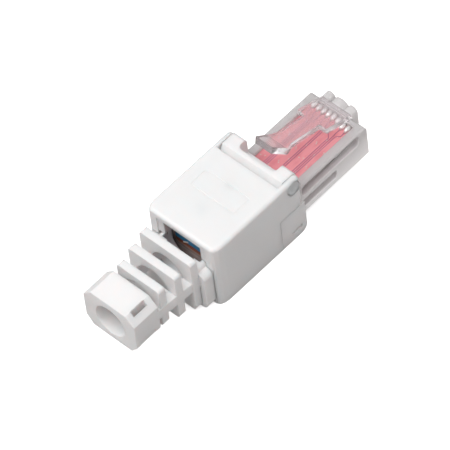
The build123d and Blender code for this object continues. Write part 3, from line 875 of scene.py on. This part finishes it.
class Stage(bpy.types.Operator):
    """Adds the pale floor, the soft lights and the camera."""

    bl_idname = "field_plug.stage"
    bl_label = "Studio stage"

    def execute(self, context):
        sizes = context.scene.field_plug_sizes
        colours = context.scene.field_plug_colours
        self.lay_floor(sizes, colours)
        self.hang_lights()
        self.place_camera()
        self.fill_world()
        context.scene.view_settings.view_transform = "Standard"
        return {"FINISHED"}

    def lay_floor(self, sizes, colours):
        """A floor just under the object, with its paint."""
        reach = sizes.floor_reach
        height = BASE_LOW.z - FLOOR_GAP
        corners = [(-reach, -reach, height), (reach, -reach, height),
                   (reach, reach, height), (-reach, reach, height)]
        mesh = bpy.data.meshes.new("studio_floor")
        mesh.from_pydata(corners, [], [(0, 1, 2, 3)])
        mesh.materials.append(self.floor_paint(colours))
        floor = bpy.data.objects.new("studio_floor", mesh)
        bpy.context.scene.collection.objects.link(floor)

    def floor_paint(self, colours):
        """Paint that looks white, gives back a pale grey's light and hides nothing from beneath."""
        material = bpy.data.materials.new("studio_floor_paint")
        material.use_nodes = True
        tree = material.node_tree
        tree.nodes.clear()
        matt = add_node(tree, "ShaderNodeBsdfDiffuse", values={"Color": paint(colours.floor)})
        bright = add_node(tree, "ShaderNodeEmission", values={"Color": paint(WHITE)})
        both = tree.nodes.new("ShaderNodeAddShader")
        nothing = tree.nodes.new("ShaderNodeBsdfTransparent")
        output = tree.nodes.new("ShaderNodeOutputMaterial")
        path = tree.nodes.new("ShaderNodeLightPath")
        # Painted shadow: seen directly, the floor's white emission is dimmed where the object
        # covers it closely, as a contact shadow under the object
        cover = add_node(tree, "ShaderNodeAmbientOcclusion", {"samples": 8},
                         {"Distance": SHADE_REACH})
        shade = add_node(tree, "ShaderNodeMapRange", values={
            "From Min": 0.12, "From Max": 0.38, "To Min": 0.5, "To Max": 1.0})
        join(tree, cover, "AO", shade, "Value")
        brightness = calculate(tree, "MAXIMUM", shade.outputs["Result"],
                               path.outputs["Is Transmission Ray"])
        tree.links.new(brightness, bright.inputs["Strength"])
        for number, light in enumerate((matt.outputs["BSDF"], bright.outputs["Emission"])):
            tree.links.new(light, both.inputs[number])
        upper = mixed_shader(tree, self.straight_or_through(tree, path),
                             matt.outputs["BSDF"], both.outputs["Shader"])
        sides = tree.nodes.new("ShaderNodeNewGeometry")
        touching = calculate(tree, "LESS_THAN", path.outputs["Ray Length"], FLOOR_PASS)
        passing = calculate(tree, "MAXIMUM", sides.outputs["Backfacing"], touching)
        surface = mixed_shader(tree, passing, upper, nothing.outputs["BSDF"])
        tree.links.new(surface, output.inputs["Surface"])
        return material

    def straight_or_through(self, tree, path):
        """One where the backdrop is seen directly or through clear plastic, else zero."""
        return calculate(tree, "MAXIMUM", path.outputs["Is Camera Ray"],
                         path.outputs["Is Transmission Ray"])

    def hang_lights(self):
        """A broad key from above, a weak light from behind and two weak fills from the right."""
        for name, place, size, power, colour in LIGHTS:
            self.hang(name, Vector(place), size, power, colour)

    def hang(self, name, place, size, power, colour):
        """One square area light that looks at the middle of the object."""
        light = bpy.data.lights.new(name, "AREA")
        light.size = size
        light.energy = power
        light.color = colour
        lamp = bpy.data.objects.new(name, light)
        lamp.location = place
        lamp.rotation_mode = "QUATERNION"
        lamp.rotation_quaternion = place.to_track_quat("Z", "Y")
        bpy.context.scene.collection.objects.link(lamp)

    def place_camera(self):
        """A long lens from above, behind and to the right, turned a little about its axis."""
        azimuth, elevation, roll = (radians(turn) for turn in CAMERA_TURNS)
        back = Vector((sin(azimuth) * cos(elevation), -cos(azimuth) * cos(elevation),
                       sin(elevation)))
        level = Vector((0, 0, 1)).cross(back).normalized()
        rise = back.cross(level)
        right = level * cos(roll) + rise * sin(roll)
        up = rise * cos(roll) - level * sin(roll)
        data = bpy.data.cameras.new("camera")
        data.lens = CAMERA_LENS
        data.sensor_width = CAMERA_SENSOR
        data.clip_start = 0.05
        data.clip_end = 20.0
        camera = bpy.data.objects.new("camera", data)
        turn = Matrix((right, up, back)).transposed()
        place = Matrix.Translation(CAMERA_TARGET + back * CAMERA_DISTANCE)
        camera.matrix_world = place @ turn.to_4x4()
        bpy.context.scene.collection.objects.link(camera)
        bpy.context.scene.camera = camera

    def fill_world(self):
        """Even warm fill light from all round, with a white backdrop for the camera."""
        world = bpy.data.worlds.new("studio_world")
        world.use_nodes = True
        tree = world.node_tree
        tree.nodes.clear()
        fill = add_node(tree, "ShaderNodeBackground", values={
            "Color": paint(WORLD_FILL), "Strength": WORLD_STRENGTH})
        white = add_node(tree, "ShaderNodeBackground", values={
            "Color": paint(WHITE), "Strength": 1.0})
        path = tree.nodes.new("ShaderNodeLightPath")
        output = tree.nodes.new("ShaderNodeOutputWorld")
        surface = mixed_shader(tree, self.straight_or_through(tree, path),
                               fill.outputs["Background"], white.outputs["Background"])
        tree.links.new(surface, output.inputs["Surface"])
        bpy.context.scene.world = world


class FieldPlugPanel(bpy.types.Panel):
    """Lists the steps that dress the plug."""

    bl_idname = "VIEW3D_PT_field_plug"
    bl_label = "Field Plug"
    bl_space_type = "VIEW_3D"
    bl_region_type = "UI"
    bl_category = "Field Plug"

    def draw(self, context):
        for step in STEPS:
            self.layout.operator(step.bl_idname)


STEPS = (WhiteHousing, ClearPlug, CircuitBoard, Contacts, WiringLabel, Stage)
CLASSES = (FieldPlugSizes, FieldPlugColours, *STEPS, FieldPlugPanel)


def register():
    """Registers the classes and hangs the settings on the scene."""
    for item in CLASSES:
        bpy.utils.register_class(item)
    bpy.types.Scene.field_plug_sizes = bpy.props.PointerProperty(type=FieldPlugSizes)
    bpy.types.Scene.field_plug_colours = bpy.props.PointerProperty(type=FieldPlugColours)


def unregister():
    """Takes the settings and the classes away again."""
    del bpy.types.Scene.field_plug_colours
    del bpy.types.Scene.field_plug_sizes
    for item in reversed(CLASSES):
        bpy.utils.unregister_class(item)


def main():
    """Runs every step in order."""
    register()
    bpy.ops.field_plug.white_housing()
    bpy.ops.field_plug.clear_plug()
    bpy.ops.field_plug.circuit_board()
    bpy.ops.field_plug.contacts()
    bpy.ops.field_plug.wiring_label()
    bpy.ops.field_plug.stage()


if __name__ == "__main__":
    main()
